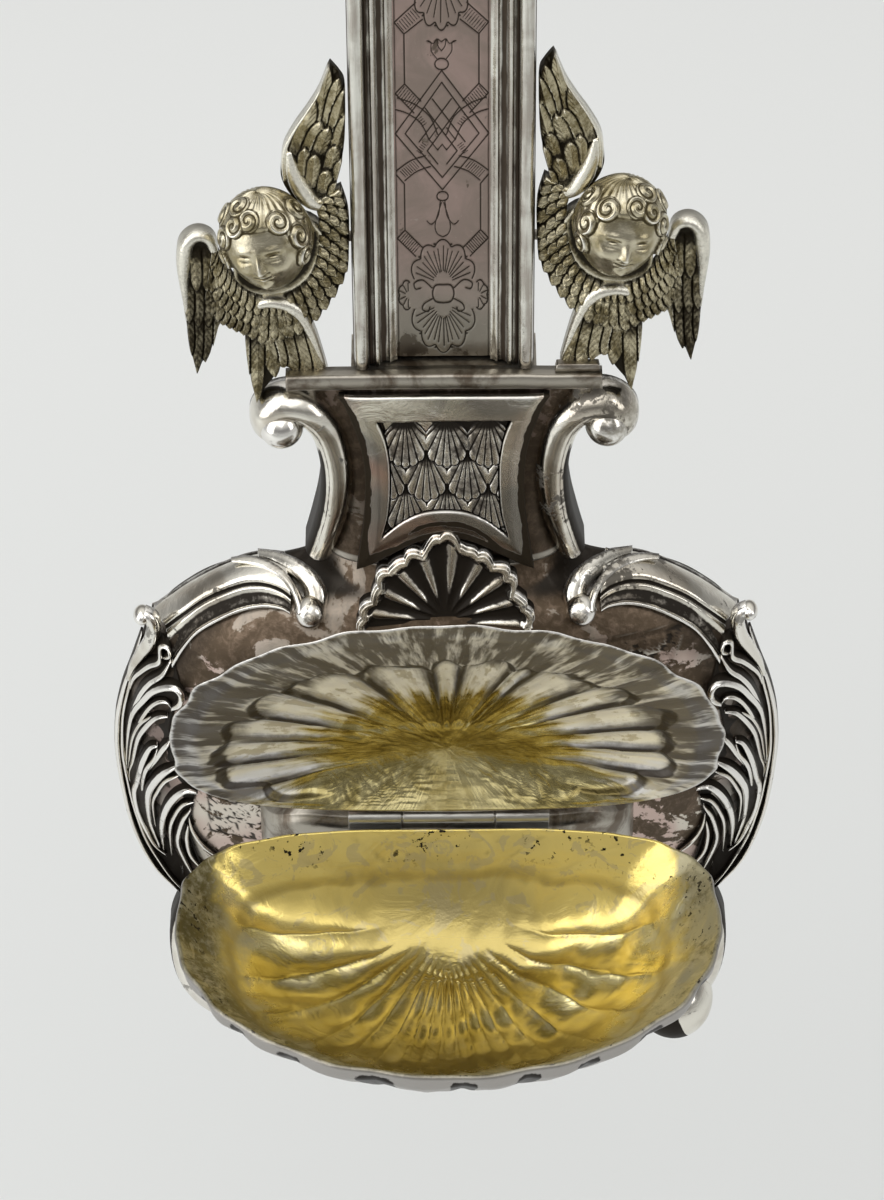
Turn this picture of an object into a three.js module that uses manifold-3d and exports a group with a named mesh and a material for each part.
import * as THREE from 'three';
import { mergeVertices } from 'three/addons/utils/BufferGeometryUtils.js';
import Module from 'manifold-3d';

const wasm = await Module();
wasm.setup();

// Silver wall stoup, millimetres, Z up, the wall is the plane Y = 0 and the front is -Y.
// "Rise" below is the distance of a point in front of the wall.

// hinge and lid
const HINGE_Y = -41.9;
const HINGE_Z = 0.6;
const LID_OPEN = 78;
const LID_HALF_WIDTH = 58.3;
const LID_BACK = 1.9;
const LID_FRONT = 71.6;
const LID_WIDEST = 29.5;
const LID_DOME = 9.5;
const LID_UMBO = 13;
const KNUCKLE_R = 1.35;
const KNUCKLE_BORE = 0.87;
const PIN_R = 0.8;
const PIN_LEFT = -21.5;
const PIN_RIGHT = 22.2;

// bowl
const BOWL_HALF_WIDTH = 57.5;
const BOWL_BACK_Y = -44.4;
const BOWL_FRONT_Y = -115.6;
const BOWL_WIDEST_Y = -74;
const BOWL_DEPTH = 24;
const BOWL_RIM_Z = -0.8;
const FRONT_DROP = 3;
const WALL = 1.1;

// body
const SHEET = 1.2;
const EDGE_RISE = 2.7;
const GAP = 0.35;
const NECK_RISE = 15.5;
const NECK_TOP = 98;
const NECK_FOOT = 52.4;
const PLATE_TOP = 85;
const BELLY_TOP = 52;
const BELLY_FOOT = -86;
const LEDGE_BOTTOM = 98.4;
const LEDGE_TOP = 102.3;
const LEDGE_HALF = 33;

// pillar
const PILLAR_FOOT = 102.7;
const PILLAR_TOP = 214;
const PILLAR_HALF = 18.6;
const PANEL_HALF = 17.1;
const MOULD_IN = 9.9;

// cherub heads
const HEAD_X = 36.2;
const HEAD_Z = 138;
const HEAD_RISE = 16.8;
const HEAD_SEMI = new THREE.Vector3(8.8, 8.4, 10.6);
const STUD_Z = 131;
const STUD_RISE = 7.6;

const silver = () => new THREE.MeshStandardMaterial({ color: 0xc4c0b6, metalness: 1, roughness: 0.25 });
const tarnished = () => new THREE.MeshStandardMaterial({ color: 0x8d857a, metalness: 1, roughness: 0.4 });
const gilt = () => new THREE.MeshStandardMaterial({ color: 0xd6b45c, metalness: 1, roughness: 0.25 });
const stoup = new THREE.Group();

function add(name, geometry, material) {
  const mesh = new THREE.Mesh(geometry, material);
  mesh.name = name;
  stoup.add(mesh);
}

function lerpTable(table, value) {
  for (let i = 1; i < table.length; i += 1) {
    const [a, fa] = table[i - 1];
    const [b, fb] = table[i];
    if ((value <= a && value >= b) || (value >= a && value <= b)) {
      return fa + ((fb - fa) * (value - a)) / (b - a);
    }
  }
  const ends = Math.abs(value - table[0][0]) < Math.abs(value - table.at(-1)[0]);
  return ends ? table[0][1] : table.at(-1)[1];
}

function smoothTable(points, steps) {
  const curve = new THREE.SplineCurve(points.map(([a, b]) => new THREE.Vector2(a, b)));
  return curve.getPoints(steps).map((p) => [p.x, p.y]);
}

function finish(positions, index) {
  let volume = 0;
  for (let i = 0; i < index.length; i += 3) {
    const [a, b, c] = [0, 1, 2].map((k) => new THREE.Vector3(...positions[index[i + k]]));
    volume += a.dot(b.cross(c));
  }
  const geometry = new THREE.BufferGeometry();
  geometry.setAttribute('position', new THREE.Float32BufferAttribute(positions.flat(), 3));
  const turned = [];
  for (let i = 0; i < index.length; i += 3) {
    turned.push(index[i], index[i + (volume < 0 ? 2 : 1)], index[i + (volume < 0 ? 1 : 2)]);
  }
  geometry.setIndex(turned);
  return mergeVertices(geometry, 1e-4);
}

// closed slab between two surfaces over the same grid
function slab(nu, nv, front, back) {
  const positions = [];
  const index = [];
  const at = (side, i, j) => side * (nu + 1) * (nv + 1) + i * (nv + 1) + j;
  const quad = (a, b, c, d) => index.push(a, b, c, a, c, d);
  for (const surface of [front, back]) {
    for (let i = 0; i <= nu; i += 1) {
      for (let j = 0; j <= nv; j += 1) {
        positions.push(surface(i / nu, j / nv));
      }
    }
  }
  for (let i = 0; i < nu; i += 1) {
    for (let j = 0; j < nv; j += 1) {
      quad(at(0, i, j), at(0, i + 1, j), at(0, i + 1, j + 1), at(0, i, j + 1));
      quad(at(1, i, j), at(1, i, j + 1), at(1, i + 1, j + 1), at(1, i + 1, j));
    }
    quad(at(0, i, 0), at(1, i, 0), at(1, i + 1, 0), at(0, i + 1, 0));
    quad(at(0, i, nv), at(0, i + 1, nv), at(1, i + 1, nv), at(1, i, nv));
  }
  for (let j = 0; j < nv; j += 1) {
    quad(at(0, 0, j), at(0, 0, j + 1), at(1, 0, j + 1), at(1, 0, j));
    quad(at(0, nu, j), at(1, nu, j), at(1, nu, j + 1), at(0, nu, j + 1));
  }
  return finish(positions, index);
}

// closed cup from an inner and an outer surface that meet at the rim
function cup(around, rings, inner, outer) {
  const positions = [inner(0, 0)];
  const index = [];
  const ring = (side, k, i) => 1 + side * rings * around + (k - 1) * around + (i % around);
  for (const surface of [inner, outer]) {
    for (let k = 1; k <= rings; k += 1) {
      for (let i = 0; i < around; i += 1) {
        positions.push(surface((i / around) * 2 * Math.PI, k / rings));
      }
    }
  }
  positions.push(outer(0, 0));
  const last = positions.length - 1;
  for (let i = 0; i < around; i += 1) {
    index.push(0, ring(0, 1, i), ring(0, 1, i + 1));
    index.push(last, ring(1, 1, i + 1), ring(1, 1, i));
    for (let k = 1; k < rings; k += 1) {
      index.push(ring(0, k, i), ring(0, k + 1, i), ring(0, k + 1, i + 1));
      index.push(ring(0, k, i), ring(0, k + 1, i + 1), ring(0, k, i + 1));
      index.push(ring(1, k, i), ring(1, k + 1, i + 1), ring(1, k + 1, i));
      index.push(ring(1, k, i), ring(1, k, i + 1), ring(1, k + 1, i + 1));
    }
    index.push(ring(0, rings, i), ring(1, rings, i), ring(1, rings, i + 1));
    index.push(ring(0, rings, i), ring(1, rings, i + 1), ring(0, rings, i + 1));
  }
  return finish(positions, index);
}

// bar with a half-round section along a path that lies on the front
function bar(path, steps, half, height) {
  const curve = new THREE.CatmullRomCurve3(path.map(([x, rise, z]) => new THREE.Vector3(x, -rise, z)));
  const sides = 7;
  const front = new THREE.Vector3(0, -1, 0);
  const positions = [];
  const index = [];
  for (let i = 0; i <= steps; i += 1) {
    const t = i / steps;
    const p = curve.getPoint(t);
    const side = curve.getTangent(t).cross(front).normalize();
    for (let k = 0; k < sides; k += 1) {
      const a = (Math.PI * k) / (sides - 1);
      const across = Math.cos(a) * half(t);
      const up = Math.sin(a) * height(t);
      positions.push(p.clone().addScaledVector(side, across).addScaledVector(front, up).toArray());
    }
  }
  for (let i = 0; i < steps; i += 1) {
    for (let k = 0; k < sides; k += 1) {
      const [a, b] = [i * sides + k, i * sides + ((k + 1) % sides)];
      index.push(a, a + sides, b + sides, a, b + sides, b);
    }
  }
  for (let k = 1; k < sides - 1; k += 1) {
    index.push(0, k, k + 1);
    const end = steps * sides;
    index.push(end, end + k + 1, end + k);
  }
  return finish(positions, index);
}

function standing(shape, rise, thickness, segments = 6) {
  const geometry = new THREE.ExtrudeGeometry(shape, {
    depth: thickness,
    bevelEnabled: false,
    curveSegments: segments,
  });
  return geometry.rotateX(Math.PI / 2).translate(0, -rise, 0);
}

function outline(points) {
  return new THREE.Shape(points.map(([x, z]) => new THREE.Vector2(x, z)));
}

function rounded(points, count) {
  const curve = new THREE.SplineCurve(points.map(([x, z]) => new THREE.Vector2(x, z)));
  return new THREE.Shape(curve.getPoints(count));
}

// profile in (rise, z) drawn out along X
function alongX(profile, x0, x1) {
  const geometry = new THREE.ExtrudeGeometry(outline(profile), { depth: x1 - x0, bevelEnabled: false });
  const turn = new THREE.Matrix4().set(0, 0, 1, x0, -1, 0, 0, 0, 0, 1, 0, 0, 0, 0, 0, 1);
  return upright(geometry.applyMatrix4(turn));
}

// profile in (x, rise) drawn out along Z
function alongZ(profile, z0, z1) {
  const geometry = new THREE.ExtrudeGeometry(outline(profile), { depth: z1 - z0, bevelEnabled: false });
  const turn = new THREE.Matrix4().set(1, 0, 0, 0, 0, -1, 0, 0, 0, 0, 1, z0, 0, 0, 0, 1);
  return upright(geometry.applyMatrix4(turn));
}

function upright(geometry) {
  geometry.deleteAttribute('normal');
  geometry.deleteAttribute('uv');
  const merged = mergeVertices(geometry, 1e-4);
  const position = merged.getAttribute('position');
  const positions = [];
  for (let i = 0; i < position.count; i += 1) {
    positions.push([position.getX(i), position.getY(i), position.getZ(i)]);
  }
  return finish(positions, Array.from(merged.getIndex().array));
}

function solid(geometry) {
  const clean = upright(geometry.clone());
  const vertProperties = new Float32Array(clean.getAttribute('position').array);
  const triVerts = new Uint32Array(clean.getIndex().array);
  return new wasm.Manifold(new wasm.Mesh({ numProp: 3, vertProperties, triVerts }));
}

function shapeOf(manifold) {
  const mesh = manifold.getMesh();
  const geometry = new THREE.BufferGeometry();
  geometry.setAttribute('position', new THREE.BufferAttribute(new Float32Array(mesh.vertProperties), 3));
  geometry.setIndex(new THREE.BufferAttribute(new Uint32Array(mesh.triVerts), 1));
  return geometry;
}

function mirrored(geometry) {
  return upright(geometry.clone().applyMatrix4(new THREE.Matrix4().makeScale(-1, 1, 1)));
}

function addPair(name, geometry, material) {
  add(`${name}_right`, upright(geometry.clone()), material());
  add(`${name}_left`, mirrored(geometry), material());
}

function rod(radius, x0, x1, rise, z, sides = 16) {
  const geometry = new THREE.CylinderGeometry(radius, radius, x1 - x0, sides);
  return geometry.rotateZ(Math.PI / 2).translate((x0 + x1) / 2, -rise, z);
}

function ball(rx, ry, rz, x, rise, z, segments = 12) {
  const geometry = new THREE.SphereGeometry(1, segments, Math.round(segments * 0.75));
  return geometry.scale(rx, ry, rz).translate(x, -rise, z);
}

function brick(x0, x1, rise0, rise1, z0, z1) {
  const geometry = new THREE.BoxGeometry(x1 - x0, rise1 - rise0, z1 - z0);
  return geometry.translate((x0 + x1) / 2, -(rise0 + rise1) / 2, (z0 + z1) / 2);
}

// body: half widths and rises from top to foot
const bellyWidth = smoothTable([[52, 29], [47.5, 30], [45, 34], [43.4, 42], [40.5, 49.5], [36, 56], [29, 62.5],
  [15, 69], [0, 71], [-15, 70.5], [-30, 67.5], [-45, 62], [-58, 56.5], [-70, 53], [-80, 46], [-86, 36]], 45);
const bellyRise = smoothTable([[52, 16], [42, 23], [31, 29.6], [20, 30], [8, 29.4], [-10, 28], [-40, 23.5],
  [-70, 15], [-86, 9]], 40);
const neckWidth = smoothTable([[98, 33], [92, 32], [84, 28.2], [75, 25.6], [66, 25.2], [58, 26], [52.4, 29]], 18);

function neckRise(x, z) {
  const u = Math.min(1, Math.abs(x) / lerpTable(neckWidth, z));
  return EDGE_RISE + (NECK_RISE - EDGE_RISE) * Math.pow(1 - Math.pow(u, 6), 0.5);
}

function bellyRiseAt(x, z) {
  const u = Math.min(1, Math.abs(x) / lerpTable(bellyWidth, z));
  return EDGE_RISE + (lerpTable(bellyRise, z) - EDGE_RISE) * Math.pow(1 - u * u, 0.45);
}

function riseAt(x, z) {
  return z > (NECK_FOOT + BELLY_TOP) / 2 ? neckRise(x, z) : bellyRiseAt(x, z);
}

// embossed sheet over a half-width table; grown, it is the space that the ornaments keep clear of
function sheet(z0, z1, width, rise, nz, nx, grow) {
  const place = (u, v) => {
    const z = z0 + (z1 - z0) * u;
    const half = lerpTable(width, z);
    return [half * Math.sin((v * 2 - 1) * Math.PI * 0.5), z, half];
  };
  const front = (u, v) => {
    const [x, z, half] = place(u, v);
    const spread = grow > 0 ? (u === 0 ? grow : 0) - (u === 1 ? grow : 0) : 0;
    return [x * (1 + grow / half), -(rise(x, z) + grow), z + spread];
  };
  const back = (u, v) => {
    const [x, z] = place(u, v);
    if (grow > 0) {
      const [wide, , high] = front(u, v);
      return [wide, 3, high];
    }
    return [x, -Math.max(EDGE_RISE - SHEET, rise(x, z) - SHEET), z];
  };
  return slab(nz, nx, front, back);
}

const bellyMass = solid(sheet(BELLY_TOP, BELLY_FOOT, bellyWidth, bellyRiseAt, 18, 18, GAP));
const neckMass = solid(sheet(NECK_TOP, NECK_FOOT, neckWidth, neckRise, 10, 14, GAP));
const bodyMass = bellyMass.add(neckMass);

// back plate, kept low enough to stay hidden behind the ledge
const side = [...neckWidth.filter(([z]) => z < PLATE_TOP), ...bellyWidth];
const plateOutline = [...side, ...side.map(([z, w]) => [z, -w]).reverse()].map(([z, w]) => [w, z]);
add('back_plate', upright(standing(outline(plateOutline), 0, SHEET)), tarnished());

// belly and neck sheets, with holes for the bracket screws
const SCREW_X = 22;
const SCREW_Z = -10;
const screwRise = riseAt(SCREW_X, SCREW_Z);
const screwHole = (x, radius, r0, r1) => {
  const geometry = new THREE.CylinderGeometry(radius, radius, r1 - r0, 14);
  return geometry.translate(x, -(r0 + r1) / 2, SCREW_Z);
};
let belly = solid(sheet(BELLY_TOP, BELLY_FOOT, bellyWidth, bellyRiseAt, 18, 18, 0));
for (const x of [-SCREW_X, SCREW_X]) {
  belly = belly.subtract(solid(screwHole(x, 1.7, screwRise - 6, screwRise + 6)));
}
add('belly_shell', shapeOf(belly), tarnished());
const slope = [[-2, PLATE_TOP - 1], [NECK_RISE - 1.3, NECK_TOP + 0.2], [NECK_RISE - 1.3, 110], [-2, 110]];
const neck = solid(sheet(NECK_TOP, NECK_FOOT, neckWidth, neckRise, 10, 14, 0));
add('neck_shell', shapeOf(neck.subtract(solid(alongX(slope, -60, 60)))), tarnished());

// ledge on the neck, with a seat behind it for the pillar, slotted for its tongue
const ledgeProfile = [[14, LEDGE_BOTTOM], [16.6, LEDGE_BOTTOM], [17.8, 99.2], [18.2, 100.5], [17.6, 101.8],
  [16.6, LEDGE_TOP], [14, LEDGE_TOP]];
const seat = brick(-PILLAR_HALF - 0.8, PILLAR_HALF + 0.8, 2.7, 15, LEDGE_BOTTOM, LEDGE_TOP);
const ledge = solid(alongX(ledgeProfile, -LEDGE_HALF, LEDGE_HALF)).add(solid(seat));
add('top_ledge', shapeOf(ledge.subtract(solid(brick(-8.4, 8.4, 4.9, 8.1, 90, 110)))), silver());
add('wing_rest_block', brick(23, 32.6, 13.9, 16.8, 102.65, 104.2), silver());

// pillar: channel at the back, engraved panel, mouldings, cap, tongue into the neck
const channel = [[-PILLAR_HALF, 3], [PILLAR_HALF, 3], [PILLAR_HALF, 11.4], [17.4, 11.4], [17.4, 4.2],
  [-17.4, 4.2], [-17.4, 11.4], [-PILLAR_HALF, 11.4]];
let pillarBack = solid(alongZ(channel, PILLAR_FOOT, PILLAR_TOP));
pillarBack = pillarBack.subtract(solid(rod(1.45, -25, 25, STUD_RISE, STUD_Z)));
add('pillar_back', shapeOf(pillarBack), silver());
add('pillar_panel', brick(-PANEL_HALF, PANEL_HALF, 10.1, 11.3, 103, 213.6), silver());
const moulding = [[18.9, 11.75], [18.9, 14.3], [18.2, 15.8], [17.2, 16.3], [16.2, 15.7], [15.7, 14.6],
  [15.2, 14.4], [14.7, 15], [14.1, 14.9], [13.6, 13.6], [12.4, 13.2], [11.4, 13.5], [MOULD_IN, 12.2],
  [MOULD_IN, 11.75]];
addPair('pillar_moulding', alongZ(moulding, PILLAR_FOOT, PILLAR_TOP), silver);
const across = moulding.map(([x, rise]) => [rise, PILLAR_TOP - 18.9 + x]);
add('pillar_moulding_top', alongX(across, -MOULD_IN + 0.35, MOULD_IN - 0.35), silver());
const capProfile = [[3, 214.4], [18.4, 214.4], [19, 215.6], [18.4, 217], [12.5, 219], [3, 219]];
add('pillar_cap', alongX(capProfile, -20.6, 20.6), silver());
add('pillar_tongue', brick(-8, 8, 5.3, 7.7, 74, 128), silver());

// fixed loop behind the pillar for the wall hook
const loopRing = new THREE.Shape();
loopRing.absarc(0, 226, 6.6, 0, 2 * Math.PI, false);
const loopHole = new THREE.Path();
loopHole.absarc(0, 226, 3.7, 0, 2 * Math.PI, true);
loopRing.holes.push(loopHole);
const loop = solid(standing(loopRing, 0.8, 1.8, 12)).add(solid(brick(-3, 3, 0.8, 2.6, 205, 221)));
add('hanging_loop', shapeOf(loop), silver());

// cherub heads with wings; the lower feathers lean forward over the ledge
const lean = (geometry) => {
  const position = geometry.getAttribute('position');
  for (let i = 0; i < position.count; i += 1) {
    const drop = Math.max(0, 142 - position.getZ(i));
    position.setY(i, position.getY(i) - drop * 0.05);
  }
  return geometry;
};
const feathers = (points, rise, thickness) => solid(lean(standing(rounded(points, 22), rise, thickness)));
const collar = feathers([[19.3, 146], [19.3, 134], [19.3, 122], [24, 114], [33, 110], [42, 112], [47, 119],
  [46.4, 128], [42, 136], [36, 140.5], [31.5, 142], [27, 147], [19.3, 146]], 5.4, 4.2);
const upperWing = feathers([[19.4, 138], [20, 144], [22.2, 151], [22, 160], [20.4, 168], [22.1, 175],
  [26.5, 166], [30.6, 158], [32.4, 151], [30.6, 145], [28, 139.5], [23, 136], [19.4, 138]], 6.4, 4.4);
const outerWing = feathers([[44, 128], [48.2, 134], [53.6, 130], [54.8, 121], [53.4, 112], [54.2, 104],
  [53.2, 98.5], [48.6, 102], [45.6, 109], [42.6, 115], [44, 128]], 6, 5);
const middleWing = feathers([[36, 114], [45, 111], [44.2, 102], [41.6, 97], [37, 100.5], [34.4, 107],
  [36, 114]], 5.6, 4);
const innerWing = feathers([[22, 119], [33, 116], [35, 109], [31.4, 105.6], [29, 105], [24.6, 105],
  [25.2, 108.5], [22.6, 113], [22, 119]], 5.8, 4.6);
const headForm = (grow) => {
  const s = HEAD_SEMI;
  const geometry = ball(1, 1, 1, 0, 0, 0, 20).rotateX(Math.PI / 2);
  const position = geometry.getAttribute('position');
  for (let i = 0; i < position.count; i += 1) {
    const p = new THREE.Vector3().fromBufferAttribute(position, i);
    const jaw = 1 - 0.2 * Math.max(0, -p.z);
    const nose = p.y < -0.6 ? 0.09 * Math.exp(-((p.x / 0.14) ** 2) - ((p.z + 0.1) / 0.22) ** 2) : 0;
    position.setXYZ(i, p.x * (s.x + grow) * jaw, (p.y - nose) * (s.y + grow), p.z * (s.z + grow));
  }
  return geometry.rotateX(0.22).rotateY(0.16).translate(HEAD_X, -HEAD_RISE, HEAD_Z);
};
let wings = collar.add(upperWing).add(outerWing).add(middleWing).add(innerWing);
wings = wings.subtract(solid(headForm(GAP)));
wings = wings.subtract(solid(rod(1.45, 15, 23.4, STUD_RISE, STUD_Z)));
wings = wings.subtract(solid(brick(15, 19.25, 0, 30, 90, 180)));
wings = wings.subtract(solid(brick(15, 60, 0, 4.9, 90, 180)));
addPair('cherub_wings', shapeOf(wings), silver);
addPair('cherub_head', headForm(0), silver);
addPair('cherub_stud', rod(1.1, 14.6, 23, STUD_RISE, STUD_Z), silver);
const nut = solid(rod(2.1, 15.4, 17.1, STUD_RISE, STUD_Z, 6));
addPair('cherub_nut', shapeOf(nut.subtract(solid(rod(1.4, 14, 18, STUD_RISE, STUD_Z)))), silver);

// neck front: border board with a sunk scale panel
const boardRise = NECK_RISE + GAP;
const board = outline([[22, 96.8], [20.2, 93], [17.6, 84], [16.8, 76], [17.2, 66], [18.8, 53.5],
  [15.5, 57.2], [11.5, 60.6], [6, 63.3], [0, 64.3], [-6, 63.3], [-11.5, 60.6], [-15.5, 57.2], [-18.8, 53.5],
  [-17.2, 66], [-16.8, 76], [-17.6, 84], [-20.2, 93], [-22, 96.8]]);
const window = [[-13.8, 90.4], [13.8, 90.4], [12.2, 85], [11.4, 78], [11.8, 68], [13.2, 61.4], [9.2, 65],
  [4.8, 67.3], [0, 67.9], [-4.8, 67.3], [-9.2, 65], [-13.2, 61.4], [-11.8, 68], [-11.4, 78], [-12.2, 85]];
board.holes.push(new THREE.Path([...window].reverse().map(([x, z]) => new THREE.Vector2(x, z))));
add('neck_frame', upright(standing(board, boardRise, 2.4)), silver());
const panel = window.map(([x, z]) => [x * 0.965, 77 + (z - 77) * 0.965]);
add('scale_panel', upright(standing(outline(panel), boardRise, 1.2)), tarnished());

// scrolls of the neck, the shoulders and the foot
const neckPath = [[26.3, 9.5, 58.8], [23.6, 12.5, 65], [22.4, 13.5, 73], [22.8, 13.5, 80], [24.6, 13, 87],
  [28.4, 12.5, 92], [33, 12, 92.6], [36.4, 11, 89.2]];
const neckBar = bar(neckPath, 16, (t) => 2.9 + 0.3 * t, (t) => 3.2 + 2.4 * t);
const neckScroll = solid(neckBar).add(solid(ball(4.6, 5.6, 5.4, 35.4, 12.4, 88.3)));
const boardGuard = solid(standing(outline([[-23, 97], [23, 97], [20.8, 93], [18, 84], [17.2, 76], [17.6, 66],
  [19.3, 54], [-19.3, 54]]), 10, 10));
addPair('neck_scroll', shapeOf(neckScroll.subtract(bodyMass).subtract(boardGuard)), silver);
const shoulderPath = [[27.4, 16.5, 42], [28.4, 13, 46], [33, 9.4, 46.4], [40.5, 8.2, 44.6], [48.5, 7.4, 41],
  [56, 6.6, 35.6], [62.6, 5.6, 28.6]];
const shoulderBar = bar(shoulderPath, 16, (t) => 3.6 - 0.6 * t, (t) => 5.2 - 1.4 * t);
const shoulder = solid(shoulderBar).add(solid(ball(3.9, 4.6, 4.2, 29.8, 19, 41.6)));
addPair('shoulder_scroll', shapeOf(shoulder.subtract(bodyMass)), silver);
const footPath = [[58.5, 6, -57], [60.6, 8, -66], [58.6, 10, -76.5], [52, 10, -83.5], [44, 8, -84]];
const footBar = bar(footPath, 14, (t) => 3.4 + 1.6 * t, (t) => 4 + 5 * t);
const foot = solid(footBar).add(solid(ball(6.6, 9.4, 6.6, 46.5, 10.5, -84.4)));
const wallCut = solid(brick(-90, 90, -40, 1.6, -130, 130));
addPair('foot_scroll', shapeOf(foot.subtract(bodyMass).subtract(wallCut)), silver);

// acanthus leaf along each edge of the belly
const leafEdge = smoothTable([[30, 66], [25, 68.6], [12, 71.9], [-1, 73.5], [-12, 73.3], [-24, 72], [-37, 68.8],
  [-44, 65.4], [-53, 60.8]], 40);
const leafPlace = (u, v) => {
  const z = 27.6 - 79.6 * u;
  const lobe = Math.abs(Math.sin(u * Math.PI * 4));
  const width = 8 + 7 * Math.pow(lobe, 0.7) * Math.sin(Math.PI * Math.min(1, u * 1.15 + 0.12));
  return [lerpTable(leafEdge, z) - v * width, z + 4 * v * v];
};
const leafFront = (u, v) => {
  const [x, z] = leafPlace(u, v);
  const ridge = 1.6 + 1.5 * Math.sin(Math.PI * v);
  const rise = v < 0.01 ? 4.6 : Math.max(6.2, riseAt(x, Math.min(z, 51)) + ridge);
  return [x, -rise, z];
};
const leafBack = (u, v) => {
  const [x, z] = leafPlace(u, v);
  return [x - (v < 0.01 ? 0 : 0.01), -1.7, z];
};
const shoulderGuard = solid(bar(shoulderPath.map(([x, rise, z]) => [x, rise - 0.4, z]), 16,
  (t) => 4 - 0.6 * t, (t) => 6 - 1.4 * t));
const leaf = solid(slab(28, 4, leafFront, leafBack)).subtract(bodyMass).subtract(shoulderGuard);
addPair('leaf', shapeOf(leaf), silver);

// crest shell above the lid
const crestAt = (u, v) => {
  const a = Math.PI * u;
  const ruffle = 1 + 0.035 * Math.cos(a * 18);
  const t = (0.2 + 0.8 * v) * (1 + (ruffle - 1) * v);
  return [17.4 * Math.cos(a) * t, 41 + 21 * Math.sin(a) * t, a, t];
};
const crestFront = (u, v) => {
  const [x, z, a, t] = crestAt(u, v);
  return [x, -(19.5 + 7.2 * (1 - (z - 41) / 30) + 2.4 * t * t + 0.45 * t * Math.cos(a * 18)), z];
};
const crestBack = (u, v) => {
  const [x, z] = crestAt(u, v);
  return [x, -10, z];
};
const crest = solid(slab(36, 4, crestFront, crestBack)).subtract(bodyMass);
add('crest_shell', shapeOf(crest), tarnished());

// bowl: an oval shell with a straight back edge
const oval = (a, half, back, widest, front) => {
  const c = Math.cos(a);
  const s = Math.sin(a);
  const n = s > 0 ? 2 / 3.5 : 1;
  const x = half * Math.sign(c) * Math.pow(Math.abs(c), n);
  const y = widest + (s > 0 ? back - widest : widest - front) * Math.sign(s) * Math.pow(Math.abs(s), n);
  return [x, y];
};
const drop = (reach, y) => -FRONT_DROP * Math.pow(Math.max(0, (reach - y) / 72), 2);
const bowlAt = (a, t, grow, sink) => {
  const [rx, ry] = oval(a, BOWL_HALF_WIDTH, BOWL_BACK_Y, BOWL_WIDEST_Y, BOWL_FRONT_Y);
  const flute = 1 + 0.006 * Math.cos(a * 22) * t;
  const centre = -66;
  const span = Math.hypot(rx, ry - centre);
  const k = (t * flute * (span + grow)) / span;
  const y = centre + (ry - centre) * k;
  const depth = (BOWL_DEPTH + sink) * (1 - Math.pow(t, 3.4));
  return [rx * k, y, BOWL_RIM_Z - depth + drop(-43, y) * t];
};
add('bowl', cup(44, 7, (a, t) => bowlAt(a, t, 0, 0), (a, t) => bowlAt(a, t, WALL, WALL)), gilt());

// hinge: outer knuckles on the bowl, the middle one on the lid, one pin
const tube = (x0, x1, y, z) => {
  const outer = solid(rod(KNUCKLE_R, x0, x1, -y, z, 20));
  return outer.subtract(solid(rod(KNUCKLE_BORE, x0 - 1, x1 + 1, -y, z, 20)));
};
const bowlKnuckle = (x0, x1) => {
  const leafPiece = solid(brick(x0, x1, 41.2, 42.2, -6, HINGE_Z - 1.05));
  return shapeOf(tube(x0, x1, HINGE_Y, HINGE_Z).add(leafPiece));
};
add('bowl_knuckle_left', bowlKnuckle(PIN_LEFT, -10), silver());
add('bowl_knuckle_right', bowlKnuckle(10.6, PIN_RIGHT), silver());
add('hinge_pin', rod(PIN_R, PIN_LEFT, PIN_RIGHT, -HINGE_Y, HINGE_Z, 20), silver());

// lid, modelled shut on the hinge axis and then opened
const lidAt = (a, t, grow, raise) => {
  const [rx, ry] = oval(a, LID_HALF_WIDTH, -LID_BACK - WALL, -LID_WIDEST, -LID_FRONT);
  const flute = 1 + 0.008 * Math.cos(a * 22) * t;
  const centre = -LID_UMBO;
  const span = Math.hypot(rx, ry - centre);
  const k = (t * flute * (span + grow)) / span;
  const y = centre + (ry - centre) * k;
  const height = (LID_DOME + raise) * (1 - Math.pow(t, 1.7));
  return [rx * k, y, -0.5 + height + drop(-1, y) * t];
};
const open = (geometry) => {
  const turned = geometry.rotateX((-LID_OPEN * Math.PI) / 180);
  return turned.translate(0, HINGE_Y, HINGE_Z);
};
add('lid', open(cup(44, 7, (a, t) => lidAt(a, t, 0, 0), (a, t) => lidAt(a, t, WALL, WALL))), gilt());
const lidLeaf = solid(brick(-9.6, 10.2, 0.5, 1.35, 0.9, 6));
add('lid_knuckle', open(shapeOf(tube(-9.6, 10.2, 0, 0).add(lidLeaf))), silver());

// bracket that carries the bowl, screwed from inside the belly
const bracketAt = (u, v) => {
  const x = -41.4 + 82.8 * v;
  return [x, -2.2 - 17 * u, Math.pow(Math.max(0, 1 - Math.pow(Math.abs(x) / 41.4, 5)), 0.5)];
};
const bracketFront = (u, v) => {
  const [x, z, k] = bracketAt(u, v);
  return [x, -(27 + (15.4 - 7 * u * u) * k), z];
};
const bracketBack = (u, v) => {
  const [x, z] = bracketAt(u, v);
  return [x, -16, z];
};
let bracket = solid(slab(5, 16, bracketFront, bracketBack)).subtract(bodyMass);
for (const x of [-SCREW_X, SCREW_X]) {
  bracket = bracket.subtract(solid(screwHole(x, 1.7, screwRise - 6, 37.4)));
}
bracket = bracket.subtract(solid(brick(-24, 24, 40.7, 45, -7, 3)));
add('bowl_bracket', shapeOf(bracket), silver());
const screw = (x) => {
  const shank = solid(screwHole(x, 1.3, screwRise - 3.6, 37));
  return shapeOf(shank.add(solid(screwHole(x, 2.7, screwRise - 5, screwRise - 2.2))));
};
add('bracket_screw_left', screw(-SCREW_X), silver());
add('bracket_screw_right', screw(SCREW_X), silver());

export default stoup;
